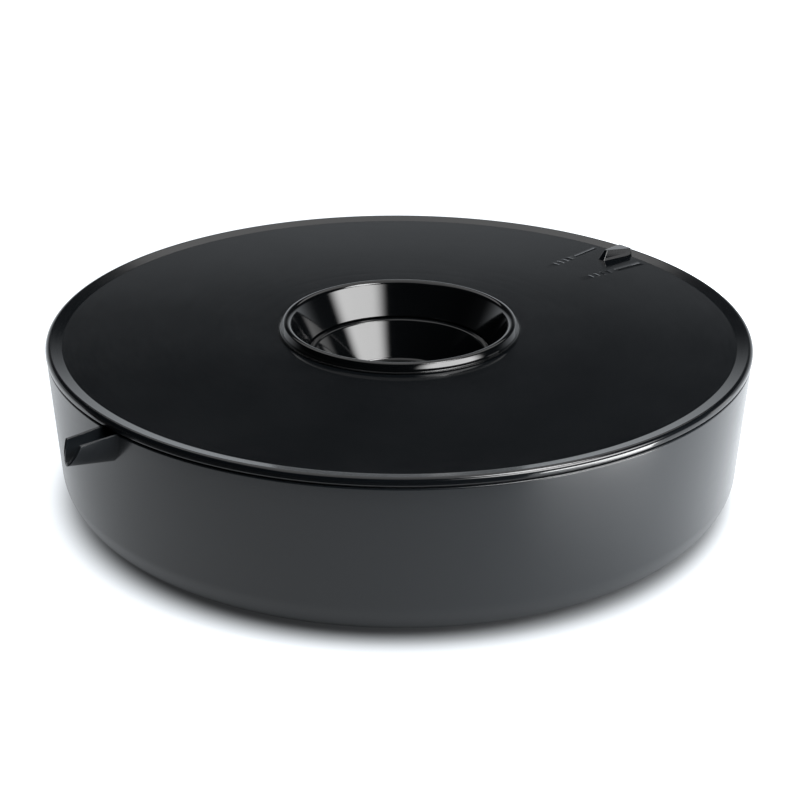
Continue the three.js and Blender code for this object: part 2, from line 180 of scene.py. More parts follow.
def arc(centre, radius, start, end, steps):
    """Points of an arc, angles in degrees, as (radius, height) pairs."""
    angles = [math.radians(start + (end - start) * k / steps) for k in range(steps + 1)]
    return [(centre[0] + radius * math.cos(a), centre[1] + radius * math.sin(a)) for a in angles]


def rounded(corners, closed=True, step=13.0):
    """A polyline through corners, given as (r, z) or (r, z, rounding)."""
    count = len(corners)
    points = []
    for i, corner in enumerate(corners):
        radius = corner[2] if len(corner) > 2 else 0
        here = Vector(corner[:2])
        if radius == 0 or (not closed and i in (0, count - 1)):
            points.append(tuple(here))
            continue
        before = Vector(corners[i - 1][:2]) - here
        after = Vector(corners[(i + 1) % count][:2]) - here
        half = before.angle(after) / 2
        reach = min(radius / math.tan(half), 0.49 * before.length, 0.49 * after.length)
        radius = reach * math.tan(half)
        before.normalize()
        after.normalize()
        centre = here + (before + after).normalized() * (radius / math.sin(half))
        first = here + before * reach - centre
        last = here + after * reach - centre
        sweep = first.angle_signed(last)
        steps = max(2, math.ceil(math.degrees(abs(sweep)) / step))
        for k in range(steps + 1):
            turn = Matrix.Rotation(-sweep * k / steps, 2)
            points.append(tuple(centre + turn @ first))
    return points


def spaced(start, end, count):
    """Points from start to end in even steps, the first included and the last left out."""
    return [
        tuple(start[axis] + (end[axis] - start[axis]) * k / count for axis in (0, 1))
        for k in range(count)
    ]


def at(azimuth, radius, z=0.0):
    """A place at an azimuth in degrees and a radius from the Z axis."""
    a = math.radians(azimuth)
    return Vector((radius * math.cos(a), radius * math.sin(a), z))


def spun(points, azimuth):
    """Points, given along the X axis, turned round the Z axis to an azimuth."""
    turn = Matrix.Rotation(math.radians(azimuth), 3, "Z")
    return [turn @ Vector(p) for p in points]


SCREW_SPOTS = [at(45 + 90 * k, SCREW_CIRCLE)[:2] for k in range(4)]


# ------------------------------------------------------------------ mesh makers

def mesh_from(bm):
    """A mesh in metres, faces outwards, from a bmesh in millimetres."""
    bmesh.ops.remove_doubles(bm, verts=bm.verts, dist=1e-4)
    bmesh.ops.recalc_face_normals(bm, faces=bm.faces)
    if bm.calc_volume(signed=True) < 0:
        bmesh.ops.reverse_faces(bm, faces=bm.faces)
    bmesh.ops.scale(bm, vec=(MM, MM, MM), verts=bm.verts)
    mesh = bpy.data.meshes.new("shape")
    bm.to_mesh(mesh)
    bm.free()
    return mesh


def turned(outline, sides, centre=(0.0, 0.0)):
    """A closed outline of (radius, height) pairs turned round an upright axis."""
    bm = bmesh.new()
    loops = []
    for radius, z in outline:
        if radius < 1e-6:
            loops.append([bm.verts.new((centre[0], centre[1], z))] * sides)
            continue
        loops.append([
            bm.verts.new((
                centre[0] + radius * math.cos(math.tau * k / sides),
                centre[1] + radius * math.sin(math.tau * k / sides),
                z,
            ))
            for k in range(sides)
        ])
    for inner, outer in zip(loops, loops[1:] + loops[:1]):
        for k in range(sides):
            j = (k + 1) % sides
            corners = list(dict.fromkeys((inner[k], inner[j], outer[j], outer[k])))
            if len(corners) > 2:
                bm.faces.new(corners)
    return mesh_from(bm)


def band(inner, outer, base, top, roundings=(0, 0, 0, 0), sides=LARGE_SIDES, centre=(0.0, 0.0)):
    """A ring, or a disc where inner is 0, of rectangular section.

    The roundings are those of its inner base, outer base, outer top and inner top edges.
    """
    corners = ((inner, base), (outer, base), (outer, top), (inner, top))
    outline = rounded([(r, z, rounding) for (r, z), rounding in zip(corners, roundings)])
    return turned(outline, sides, centre)


def lofted(sections):
    """A closed solid through sections, each a loop of points, capped at both ends."""
    bm = bmesh.new()
    loops = [[bm.verts.new(point) for point in section] for section in sections]
    for near, far in zip(loops, loops[1:]):
        for k in range(len(near)):
            j = (k + 1) % len(near)
            bm.faces.new((near[k], near[j], far[j], far[k]))
    bm.faces.new(reversed(loops[0]))
    bm.faces.new(loops[-1])
    return mesh_from(bm)


def upright(outline, thickness, azimuth):
    """A plate standing on edge: an outline of (radius, height) pairs at an azimuth."""
    a = math.radians(azimuth)
    side = Vector((-math.sin(a), math.cos(a), 0)) * thickness / 2
    return lofted([
        [at(azimuth, r, z) - side for r, z in outline],
        [at(azimuth, r, z) + side for r, z in outline],
    ])


def merged(meshes):
    """Several separate solids as one mesh."""
    bm = bmesh.new()
    for mesh in meshes:
        bm.from_mesh(mesh)
        bpy.data.meshes.remove(mesh)
    mesh = bpy.data.meshes.new("shape")
    bm.to_mesh(mesh)
    bm.free()
    return mesh


def combined(base, tool, operation):
    """The union or difference of two meshes."""
    first = bpy.data.objects.new("first", base)
    second = bpy.data.objects.new("second", tool)
    for made in (first, second):
        bpy.context.scene.collection.objects.link(made)
    modifier = first.modifiers.new("combine", "BOOLEAN")
    modifier.operation = operation
    modifier.solver = "EXACT"
    modifier.object = second
    bpy.context.view_layer.update()
    graph = bpy.context.evaluated_depsgraph_get()
    mesh = bpy.data.meshes.new_from_object(first.evaluated_get(graph))
    for made, old in ((first, base), (second, tool)):
        bpy.data.objects.remove(made)
        bpy.data.meshes.remove(old)
    return mesh


def piece(name, mesh, material, body, nodes):
    """Makes an object of a mesh, smooth except at its sharp edges, that stands for CAD nodes."""
    bm = bmesh.new()
    bm.from_mesh(mesh)
    for face in bm.faces:
        face.smooth = True
    for edge in bm.edges:
        if edge.is_manifold:
            edge.smooth = edge.calc_face_angle(0.0) < LOOK_SHARP
    bm.to_mesh(mesh)
    bm.free()
    mesh.name = name
    mesh.materials.clear()
    mesh.materials.append(material)
    made = bpy.data.objects.new(name, mesh)
    bpy.context.scene.collection.objects.link(made)
    weighted = made.modifiers.new("even normals", "WEIGHTED_NORMAL")
    weighted.keep_sharp = True
    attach(made, body)
    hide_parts(*nodes)


# ------------------------------------------------------------------ finishes

class Nodes:
    """A node tree, with helpers that add linked nodes to it."""

    def __init__(self, tree):
        self.tree = tree

    def add(self, kind, **settings):
        node = self.tree.nodes.new(kind)
        for key, value in settings.items():
            setattr(node, key, value)
        return node

    def link(self, source, target):
        self.tree.links.new(source, target)

    def split(self, vector):
        """The parts of a vector, by the names X, Y and Z."""
        node = self.add("ShaderNodeSeparateXYZ")
        self.link(vector, node.inputs[0])
        return node.outputs

    def length(self, vector):
        node = self.add("ShaderNodeVectorMath", operation="LENGTH")
        self.link(vector, node.inputs[0])
        return node.outputs["Value"]

    def stretched(self, vector, scale):
        """Coordinates scaled differently along each axis."""
        node = self.add("ShaderNodeMapping")
        node.inputs["Scale"].default_value = scale
        self.link(vector, node.inputs["Vector"])
        return node.outputs["Vector"]

    def maths(self, operation, *values):
        """One operation worked along a row of values; all but the first may be plain numbers."""
        total = values[0]
        for value in values[1:]:
            node = self.add("ShaderNodeMath", operation=operation)
            self.link(total, node.inputs[0])
            if isinstance(value, float):
                node.inputs[1].default_value = value
            else:
                self.link(value, node.inputs[1])
            total = node.outputs[0]
        return total

    def ranged(self, source, low, high, start=0.3, end=0.7, kind="LINEAR"):
        """A value from low to high as the source goes from start to end."""
        node = self.add("ShaderNodeMapRange", interpolation_type=kind)
        for socket, value in zip(("From Min", "From Max", "To Min", "To Max"), (start, end, low, high)):
            node.inputs[socket].default_value = value
        self.link(source, node.inputs["Value"])
        return node.outputs["Result"]


class Finish(Nodes):
    """A Principled material: the uniform values of its shader, and the nodes that drive the rest."""

    def __init__(self, name, values, slot=None):
        self.material = bpy.data.materials.new(name)
        self.material.use_nodes = True
        if slot:
            self.material["slot"] = slot
        super().__init__(self.material.node_tree)
        self.shader = self.tree.nodes["Principled BSDF"]
        for socket, value in values.items():
            self.shader.inputs[socket].default_value = value
        self.place = self.add("ShaderNodeTexCoord").outputs["Object"]

    def polar(self, around):
        """Coordinates that follow circles round the Z axis: (angle times around, radius, height)."""
        parts = self.split(self.place)
        flat = self.add("ShaderNodeCombineXYZ")
        for axis in ("X", "Y"):
            self.link(parts[axis], flat.inputs[axis])
        angle = self.maths("ARCTAN2", parts["Y"], parts["X"])
        joined = self.add("ShaderNodeCombineXYZ")
        self.link(self.maths("MULTIPLY", angle, around), joined.inputs["X"])
        self.link(self.length(flat.outputs[0]), joined.inputs["Y"])
        self.link(parts["Z"], joined.inputs["Z"])
        return joined.outputs[0]

    def noise(self, scale, detail=3.0, rough=0.5, vector=None):
        node = self.add("ShaderNodeTexNoise")
        node.inputs["Scale"].default_value = scale
        node.inputs["Detail"].default_value = detail
        node.inputs["Roughness"].default_value = rough
        self.link(vector or self.place, node.inputs["Vector"])
        return node.outputs["Fac"]

    def mix(self, factor, dark, light):
        """A colour between two, each a colour or another node's colour."""
        node = self.add("ShaderNodeMix", data_type="RGBA")
        self.link(factor, node.inputs["Factor"])
        for key, value in (("A", dark), ("B", light)):
            socket = next(s for s in node.inputs if s.name == key and s.type == "RGBA")
            if isinstance(value, tuple):
                socket.default_value = (*value, 1.0)
            else:
                self.link(value, socket)
        return next(s for s in node.outputs if s.type == "RGBA")

    def bump(self, layers):
        """Bumps of (height source, strength, depth in mm), one on another."""
        normal = None
        for source, strength, depth in layers:
            node = self.add("ShaderNodeBump")
            node.inputs["Strength"].default_value = strength
            node.inputs["Distance"].default_value = depth * MM
            self.link(source, node.inputs["Height"])
            if normal is not None:
                self.link(normal, node.inputs["Normal"])
            normal = node.outputs["Normal"]
        self.link(normal, self.shader.inputs["Normal"])

    def colour(self, source):
        self.link(source, self.shader.inputs["Base Color"])

    def roughness(self, source):
        self.link(source, self.shader.inputs["Roughness"])


def moulded(name, slot, dark, light, roughness, spread, grain):
    """Moulded plastic: cloudy flow in its colour and sheen, fine grain, faint circular wiping marks."""
    made = Finish(name, {"Roughness": roughness, "IOR": 1.46}, slot)
    flow = made.noise(9.0, 4.0, 0.55)
    speck = made.noise(1400.0, 2.0, 0.6)
    wiped = made.noise(420.0, 3.0, 0.6, made.polar(0.03))
    edges = made.ranged(made.add("ShaderNodeNewGeometry").outputs["Pointiness"], 0.0, 1.0, 0.52, 0.62)
    body = made.mix(made.ranged(flow, 0.0, 1.0), dark, light)
    worn = tuple(min(1.0, 1.5 * c) for c in light)
    made.colour(made.mix(edges, body, worn))
    made.roughness(made.maths(
        "ADD",
        made.ranged(flow, roughness - spread, roughness + spread),
        made.ranged(speck, -0.015, 0.015),
        made.ranged(wiped, -0.012, 0.012),
    ))
    made.bump([
        (made.noise(55.0, 2.0, 0.5), 0.10, 0.03),
        (made.noise(1800.0, 2.0, 0.5), grain, 0.02),
    ])
    return made.material


def rubber(name):
    """Matt rubber, a little dusty."""
    made = Finish(name, {"Roughness": 0.72, "IOR": 1.5, "Specular IOR Level": 0.15}, "black_rubber")
    flow = made.noise(45.0, 4.0, 0.6)
    dust = made.noise(900.0, 3.0, 0.7)
    body = made.mix(made.ranged(flow, 0.0, 1.0), (0.005, 0.005, 0.006), (0.010, 0.010, 0.011))
    made.colour(made.mix(made.ranged(dust, 0.0, 0.4, 0.58, 0.8), body, (0.03, 0.03, 0.03)))
    made.roughness(made.ranged(flow, 0.6, 0.82))
    made.bump([(dust, 0.35, 0.06), (made.noise(2600.0), 0.25, 0.03)])
    return made.material


def grey_pipe(name):
    """Extruded plastic, with fine lines along the Z axis."""
    made = Finish(name, {"Roughness": 0.4, "IOR": 1.5}, "grey_pipe")
    drawn = made.noise(700.0, 3.0, 0.6, made.stretched(made.place, (1.0, 1.0, 0.02)))
    flow = made.noise(30.0, 4.0, 0.5)
    body = made.mix(made.ranged(flow, 0.0, 1.0), (0.038, 0.042, 0.046), (0.055, 0.060, 0.065))
    made.colour(made.mix(made.ranged(drawn, 0.0, 0.35), body, (0.09, 0.095, 0.1)))
    made.roughness(made.maths("ADD", made.ranged(flow, 0.34, 0.46), made.ranged(drawn, -0.04, 0.04)))
    made.bump([(drawn, 0.3, 0.04), (made.noise(1500.0), 0.15, 0.02)])
    return made.material


def screw_steel(name):
    """Brushed steel with a few darker stains."""
    made = Finish(name, {"Roughness": 0.3, "IOR": 2.5, "Metallic": 1.0}, "screw_steel")
    brushed = made.noise(3000.0, 2.0, 0.6, made.stretched(made.place, (1.0, 0.04, 1.0)))
    stain = made.noise(300.0, 4.0, 0.6)
    body = made.mix(made.ranged(brushed, 0.0, 1.0), (0.42, 0.43, 0.44), (0.62, 0.63, 0.64))
    made.colour(made.mix(made.ranged(stain, 0.0, 0.5, 0.55, 0.8), body, (0.30, 0.28, 0.25)))
    made.roughness(made.ranged(brushed, 0.24, 0.42))
    made.bump([(brushed, 0.25, 0.02)])
    return made.material


satin_tub = moulded("satin_black_tub", "black_satin",
                    (0.0048, 0.0060, 0.0072), (0.0060, 0.0073, 0.0087), 0.20, 0.02, 0.05)
satin_lid = moulded("satin_black_lid", "black_satin",
                    (0.0019, 0.0024, 0.0030), (0.0025, 0.0031, 0.0038), 0.125, 0.012, 0.03)
gloss = moulded("gloss_black", "black_gloss",
                (0.0010, 0.0012, 0.0014), (0.0016, 0.0019, 0.0022), 0.085, 0.012, 0.012)
black_rubber = rubber("black_rubber")
pipe = grey_pipe("grey_pipe")
steel = screw_steel("screw_steel")


# ------------------------------------------------------------------ tub

def spout_curve(reach, shrink=0.0):
    """A rounded V that hangs from the rim's level, as one section of the spout."""
    along = (reach - TUB_RIM_RADIUS) / (SPOUT_TIP - TUB_RIM_RADIUS)
    half_width, depth = (
        wall + (tip - wall) * along - shrink for wall, tip in (SPOUT_HALF_WIDTHS, SPOUT_DEPTHS)
    )
    lean = SPOUT_SLANT * max(0.0, along)
    points = []
    for k in range(SPOUT_STEPS + 1):
        a = math.pi * k / SPOUT_STEPS
        across = -math.copysign(abs(math.cos(a)) ** SPOUT_POWER, math.cos(a)) * half_width
        down = math.sin(a) ** SPOUT_POWER
        points.append((reach + lean * down, across, TUB_RIM - down * depth))
    return points


def spout_shell_section(reach):
    """The closed section of the spout's wall: outside, over a rounded lip, and back inside."""
    outside = spout_curve(reach)
    inside = spout_curve(reach, SPOUT_SHELL)
    half = SPOUT_SHELL / 2
    x, y, _ = outside[-1]
    lip = []
    for k in range(1, 6):
        a = math.pi * k / 6
        lip.append((x, y - half + half * math.cos(a), TUB_RIM + 0.55 * half * math.sin(a)))
    mirrored = [(x, -y, z) for x, y, z in reversed(lip)]
    return outside + lip + list(reversed(inside)) + mirrored


def tub_outline():
    """Half the tub's section: under its floor, up the wall, over the lip and back down inside."""
    taper = math.atan2(TUB_RIM_RADIUS - TUB_BASE_RADIUS, TUB_RIM - TUB_BASE)
    centre = (
        TUB_BASE_RADIUS - TUB_FILLET * (1 - math.sin(taper)) / math.cos(taper),
        TUB_BASE + TUB_FILLET,
    )
    turn = -math.degrees(taper)
    outside = arc(centre, TUB_FILLET, -90, turn, 26)
    inside = arc(centre, TUB_FILLET - TUB_WALL, turn, -90, 20)
    lip_outer, lip_inner, recess_round = 1.2, 0.8, 2.5
    lip_base = TUB_RIM - lip_outer
    below = [
        (0, FLOOR_UNDER),
        (RECESS_RADIUS, FLOOR_UNDER, recess_round),
        (RECESS_RADIUS + 4, TUB_BASE, recess_round),
        (RECESS_RADIUS + 12, TUB_BASE),
    ]
    above = [
        (RECESS_RADIUS + 12, TUB_BASE + TUB_WALL),
        (RECESS_RADIUS + 7, TUB_BASE + TUB_WALL, recess_round),
        (RECESS_RADIUS + 3, FLOOR_TOP, recess_round),
        (0, FLOOR_TOP),
    ]
    return (
        rounded(below, closed=False)
        + outside
        + spaced(outside[-1], (TUB_RIM_RADIUS, lip_base), 6)[1:]
        + arc((TUB_RIM_RADIUS - lip_outer, lip_base), lip_outer, 0, 90, 6)
        + arc((TUB_RIM_RADIUS - TUB_WALL + lip_inner, TUB_RIM - lip_inner), lip_inner, 90, 180, 5)
        + inside
        + rounded(above, closed=False)
    )


def tub_mesh():
    """The tub, with its spout cut in and joined on, a seat for the pole, and holes for the screws."""
    root = TUB_RIM_RADIUS - TUB_WALL + 1.4
    reaches = [root + (SPOUT_TIP - root) * k / 10 for k in range(11)]
    spout = lofted([spun(spout_shell_section(reach), SPOUT_AZIMUTH) for reach in reaches])
    above_rim = TUB_RIM + 4
    channel = lofted([
        spun(spout_curve(reach, SPOUT_SHELL) + [(reach, 8, above_rim), (reach, -8, above_rim)],
             SPOUT_AZIMUTH)
        for reach in (root - 8, TUB_RIM_RADIUS + 0.6)
    ])
    seat = band(0, POLE_SEAT, FLOOR_TOP - 1, SEAT_TOP, (0, 0, 0.4, 0), TUBE_SIDES)
    holes = [band(0, 2.3, FLOOR_UNDER - 1, FLOOR_TOP + 1, sides=24, centre=spot) for spot in SCREW_SPOTS]
    body = combined(turned(tub_outline(), LARGE_SIDES), channel, "DIFFERENCE")
    body = combined(body, spout, "UNION")
    body = combined(body, seat, "UNION")
    return combined(body, merged(holes), "DIFFERENCE")


piece("tub_shell", tub_mesh(), satin_tub, "base", ["tub"])


# ------------------------------------------------------------------ lid

def lid_surface(radius):
    """Height of the lid's flat, with its sink marks."""
    return LID_TOP - sum(
        depth * math.exp(-(((radius - ring) / SINK_WIDTH) ** 2)) for ring, depth in SINK_MARKS
    )


def lid_flat(outer, inner):
    """Points across the flat from outer to inner, close together near the sink marks."""
    radii = {outer, inner} | {inner + (outer - inner) * k / 12 for k in range(13)}
    for ring, _ in SINK_MARKS:
        radii |= {ring + SINK_WIDTH * k / 3 for k in range(-7, 8)}
    return [(r, lid_surface(r)) for r in sorted(radii, reverse=True) if inner <= r <= outer]


def pointer_mesh():
    """A wedge with sloping sides, high at its narrow inner end, with rounded edges."""
    flank = math.tan(math.radians(POINTER_FLANK))
    levels = [(share, 0.0) for share in (-1.5, 0.0, 0.25, 0.5, 0.75)]
    levels += [(1.0, math.pi / 2 * k / 5) for k in range(6)]
    sections = []
    for share, a in levels:
        inset = POINTER_EDGE * (1 - math.cos(a))
        ends = []
        for radius, half, height in (POINTER_NOSE, POINTER_TAIL):
            z = share if share < 0 else share * (height - POINTER_EDGE)
            ends.append((radius, half + (height - z) * flank - inset, z + POINTER_EDGE * math.sin(a)))
        (near, near_half, near_z), (far, far_half, far_z) = ends
        near += inset - (POINTER_NOSE[2] - near_z) * NOSE_LEAN
        far -= inset
        plan = rounded([
            (near, -near_half, 0.9), (far, -far_half, 1.5 - inset),
            (far, far_half, 1.5 - inset), (near, near_half, 0.9),
        ], step=10.0)
        section = []
        for x, y in plan:
            t = (x - near) / (far - near)
            section.append((x, y, LID_TOP + near_z + (far_z - near_z) * t))
        sections.append(spun(section, POINTER_AZIMUTH))
    return lofted(sections)


def bar(length, width):
    """A slender raised bar with gently sloping flanks, lying along X about the origin."""
    flank = width / 2 - 0.2
    levels = ((0.0, -0.6), (0.0, 0.0), (flank, MARK_HEIGHT - 0.03), (flank + 0.12, MARK_HEIGHT))
    sections = []
    for inset, z in levels:
        half, reach = width / 2 - inset, length / 2 - inset
        plan = rounded([
            (-reach, -half, half), (reach, -half, half), (reach, half, half), (-reach, half, half),
        ], step=22.0)
        sections.append([(x, y, LID_TOP + z) for x, y in plan])
    return sections


def lid_marks():
    """On each side of the pointer a long bar, and four short ones across it nearer the middle."""
    long_bar = [[(x + LONG_MARK_RADIUS, y, z) for x, y, z in section] for section in bar(*LONG_MARK)]
    bars = [long_bar] + [
        [[(y + radius, x, z) for x, y, z in section] for section in bar(*SHORT_MARK)]
        for radius in SHORT_MARK_RADII
    ]
    return merged([
        lofted([spun(section, azimuth) for section in sections])
        for azimuth in MARK_AZIMUTHS for sections in bars
    ])


def lid_mesh():
    """The lid's plate with its roll and ring ribs, its spokes, pointer and marks."""
    roll = LID_RADIUS - RIM_ROLL
    cove_start = roll - RIM_ROLL - COVE_WIDTH
    crest = arc((roll, RIM_CREST - RIM_ROLL), RIM_ROLL, 0, 90 + RIM_SLOPE, 20)
    crest_radius, crest_height = crest[-1]
    slope_foot = crest_radius - (crest_height - LID_TOP) / math.tan(math.radians(RIM_SLOPE))
    cove = rounded([(cove_start, LID_TOP), (slope_foot, LID_TOP, 1.2), crest[-1]],
                   closed=False, step=5.0)[:-1]
    rib_base = LID_UNDER - RIB_DEPTH
    underside = [(BORE, LID_UNDER, 0.3)]
    for ring in RIB_RINGS:
        underside += [(ring - 1.1, LID_UNDER), (ring - 0.9, rib_base), (ring + 0.9, rib_base),
                      (ring + 1.1, LID_UNDER)]
    underside += [(LID_RADIUS, LID_UNDER, 0.9), (LID_RADIUS, LID_UNDER + 2.1)]
    outline = (
        rounded(underside, closed=False)
        + crest
        + list(reversed(cove))[:-1]
        + lid_flat(cove_start, BORE + 0.5)
        + [(BORE + 0.15, LID_TOP - 0.1), (BORE, LID_TOP - 0.4)]
    )
    root = LID_UNDER + 0.5
    spoke = [(SPOKE_INNER, root), (SPOKE_INNER, rib_base), (SPOKE_OUTER, rib_base),
             (SPOKE_OUTER + 6, root)]
    spokes = [
        upright(spoke, 2.0, POINTER_AZIMUTH + 360 * (k + 0.5) / SPOKE_COUNT)
        for k in range(SPOKE_COUNT)
    ]
    body = combined(turned(outline, LARGE_SIDES), merged(spokes), "UNION")
    body = combined(body, pointer_mesh(), "UNION")
    return combined(body, lid_marks(), "UNION")


def skirt_mesh():
    """The ring under the lid, with the window that uncovers the spout."""
    ring = band(SKIRT_INNER, SKIRT_OUTER, SKIRT_BASE, SKIRT_TOP, (0.9, 0.9, 0.4, 0.4))
    half = SKIRT_WINDOW / 2
    window_top = LID_UNDER - 3
    plan = rounded([(-half, SKIRT_BASE - 3), (half, SKIRT_BASE - 3), (half, window_top, 2.5),
                    (-half, window_top, 2.5)])
    window = lofted([
        spun([(r, y, z) for y, z in plan], POINTER_AZIMUTH) for r in (SKIRT_INNER - 3, SKIRT_OUTER + 3)
    ])
    return combined(ring, window, "DIFFERENCE")


piece("lid_disc", lid_mesh(), satin_lid, "lid", ["lid"])

piece("lid_skirt_band", skirt_mesh(), satin_tub, "lid", ["lid_skirt"])

piece("rim_seal_band", band(SEAL_INNER, SEAL_OUTER, SEAL_BASE, SEAL_TOP, (0.3, 0.3, 0.3, 0.3)),
      black_rubber, "lid", ["rim_seal"])


# ------------------------------------------------------------------ funnel collar, washer and nut

def flattened(centre, radius, start, end, steps=8):
    """The points between the ends of an arc, angles in degrees, drawn in to a flatter curve."""
    near, far = arc(centre, radius, start, end, 1)
    middle = math.radians((start + end) / 2)
    points = []
    for k in range(1, steps):
        t = k / steps
        lift = BEAD_CROWN * 4 * t * (1 - t)
        points.append((near[0] + (far[0] - near[0]) * t + lift * math.cos(middle),
                       near[1] + (far[1] - near[1]) * t + lift * math.sin(middle)))
    return points


def collar_mesh():
    """The bead on the lid, the cone inside it and the neck below."""
    centre = (BEAD_RADIUS, BEAD_HEIGHT)
    bead = (
        arc(centre, BEAD_ROUND, 0, 5, 1)
        + flattened(centre, BEAD_ROUND, 5, 60)
        + arc(centre, BEAD_ROUND, 60, 153, 20)
    )
    mouth = bead[-1]
    slope = (mouth[0] - CONE_END_RADIUS) / (mouth[1] - CONE_END)
    across = CONE_WALL / math.cos(math.atan(slope))
    gap_top = LID_TOP - 2.6
    foot = rounded([
        (NECK_OUTER, LID_TOP + CLEARANCE), (COLLAR_FOOT, LID_TOP + CLEARANCE, 0.25),
        (COLLAR_FOOT, LID_TOP + 0.9, 0.12), (bead[0][0] + 0.15, LID_TOP + 0.95, 0.6), bead[0],
    ], closed=False)
    inside = rounded([
        mouth, (CONE_END_RADIUS, CONE_END, 0.5), (CONE_END_RADIUS + across, CONE_END, 0.5),
        (CONE_END_RADIUS + (gap_top - CONE_END) * slope + across, gap_top),
        (NECK_INNER, gap_top), (NECK_INNER, NECK_BASE, 0.5), (NECK_OUTER, NECK_BASE, 0.5),
    ], closed=False)[1:]
    return turned(foot[:-1] + bead + inside, CUP_SIDES)


piece("funnel_collar_gloss", collar_mesh(), gloss, "collar", ["funnel_collar"])

piece("slip_washer_disc",
      band(WASHER_INNER, WASHER_OUTER, WASHER_BASE, WASHER_TOP, (0.3, 0.4, 0.3, 0.3), RING_SIDES),
      pipe, "collar", ["slip_washer"])


def nut_mesh():
    """A ring nut with lugs round it to turn it by."""
    ring = band(NUT_INNER, NUT_OUTER, NUT_BASE, NUT_TOP, (0.4, 0.8, 0.5, 0.4), RING_SIDES)
    inner, outer, half = NUT_OUTER - 1.5, NUT_OUTER + 3.5, 4.0
    plan = rounded([(inner, -half, 0.5), (outer, -half, 1.4), (outer, half, 1.4), (inner, half, 0.5)],
                   step=18.0)
    sections = [
        [(x, y, NUT_BASE + 0.05) for x, y in plan],
        [(x, y, NUT_TOP - 0.6) for x, y in plan],
        [(x - 0.3, y * 0.93, NUT_TOP - 0.05) for x, y in plan],
    ]
    lugs = [
        lofted([spun(section, 360 * (k + 0.5) / NUT_LUGS) for section in sections])
        for k in range(NUT_LUGS)
    ]
    return combined(ring, merged(lugs), "UNION")


piece("collar_nut_lugged", nut_mesh(), satin_tub, "collar", ["collar_nut"])


# ------------------------------------------------------------------ well, seal, tube and grip

def well_mesh():
    """The stepped cup, its foot and flange, and the bosses and holes for its screws."""
    neck = TUBE_OUTER + 0.4
    underside = CUP_FLOOR - WELL_WALL
    groove_top = FLANGE_BASE + GROOVE_DEPTH
    outline = rounded([
        (neck, CUP_FLOOR, 0.5), (CUP_FLOOR_RADIUS, CUP_FLOOR, 3.2), (LEDGE_INNER + 0.6, LEDGE_TOP, 1.8),
        (LEDGE_STEP, LEDGE_TOP, 0.2), (LEDGE_STEP, LEDGE_TOP - 0.5), (LEDGE_OUTER, LEDGE_TOP - 0.5, 1.0),
        (WELL_FOOT, FLANGE_TOP, 1.5), (FLANGE_RADIUS, FLANGE_TOP, 0.8), (FLANGE_RADIUS, FLANGE_BASE, 0.5),
        (GROOVE_OUTER, FLANGE_BASE, 0.2), (GROOVE_OUTER, groove_top, 0.2),
        (GROOVE_INNER, groove_top, 0.2), (GROOVE_INNER, FLANGE_BASE, 0.2),
        (WELL_FOOT - WELL_WALL, FLANGE_BASE, 0.5), (LEDGE_OUTER - WELL_WALL, LEDGE_TOP - WELL_WALL, 0.8),
        (LEDGE_INNER + 3, LEDGE_TOP - WELL_WALL, 0.8), (CUP_FLOOR_RADIUS + 4.6, CUP_FLOOR, 3),
        (CUP_FLOOR_RADIUS + 1.6, underside, 2), (neck + WELL_WALL, underside, 1),
        (neck + WELL_WALL, CUP_FLOOR - SLEEVE_DEPTH, 0.6), (neck, CUP_FLOOR - SLEEVE_DEPTH, 0.6),
    ], step=9.0)
    bosses = [
        band(0, BOSS_RADIUS, FLANGE_TOP - 1, BOSS_TOP, (0, 0, 0.8, 0), 32, spot) for spot in SCREW_SPOTS
    ]
    holes = [band(0, 2, FLANGE_BASE - 1, BOSS_TOP - 2, sides=24, centre=spot) for spot in SCREW_SPOTS]
    body = combined(turned(outline, CUP_SIDES), merged(bosses), "UNION")
    return combined(body, merged(holes), "DIFFERENCE")


piece("pole_well_cup", well_mesh(), gloss, "base", ["pole_well"])

piece("well_seal_ring",
      band(GROOVE_INNER + CLEARANCE, GROOVE_OUTER - CLEARANCE,
           FLANGE_BASE, FLANGE_BASE + GROOVE_DEPTH - CLEARANCE,
           (0.3, 0.3, 0.4, 0.4), RING_SIDES),
      black_rubber, "base", ["well_seal"])

piece("pole_tube_pipe",
      band(TUBE_INNER, TUBE_OUTER, FLOOR_TOP + CLEARANCE, CUP_FLOOR - CLEARANCE,
           (0.3, 0.5, 0.5, 0.3), TUBE_SIDES),
      pipe, "base", ["pole_tube"])


def grip_mesh():
    """The sleeve that grips the pole: a flange on the cup's floor, a lip above and ridges below."""
    base = CUP_FLOOR + CLEARANCE
    outer = TUBE_INNER - CLEARANCE
    foot = CUP_FLOOR - GRIP_DEPTH
    ridges = []
    for k in range(GRIP_RIDGES):
        z = base - 3 - 3 * k
        ridges += [(POLE_BORE, z, 0.2), (POLE_BORE + 0.45, z - 0.5, 0.2),
                   (POLE_BORE + 0.45, z - 1.2, 0.2), (POLE_BORE, z - 1.7, 0.2)]
    outline = rounded([
        (POLE_BORE + 1.7, base + 3.4, 0.7), (POLE_BORE, base + 2.2, 0.4), *ridges,
        (POLE_BORE, foot, 0.2), (outer, foot, 0.2), (outer, base, 0.2),
        (GRIP_FLANGE, base, 0.3), (GRIP_FLANGE, base + 1.6, 0.5), (GRIP_FLANGE - 1.2, base + 2.4, 0.8),
    ])
    return turned(outline, TUBE_SIDES)


piece("grip_ring_sleeve", grip_mesh(), black_rubber, "base", ["grip_ring"])


# ------------------------------------------------------------------ screws and feet

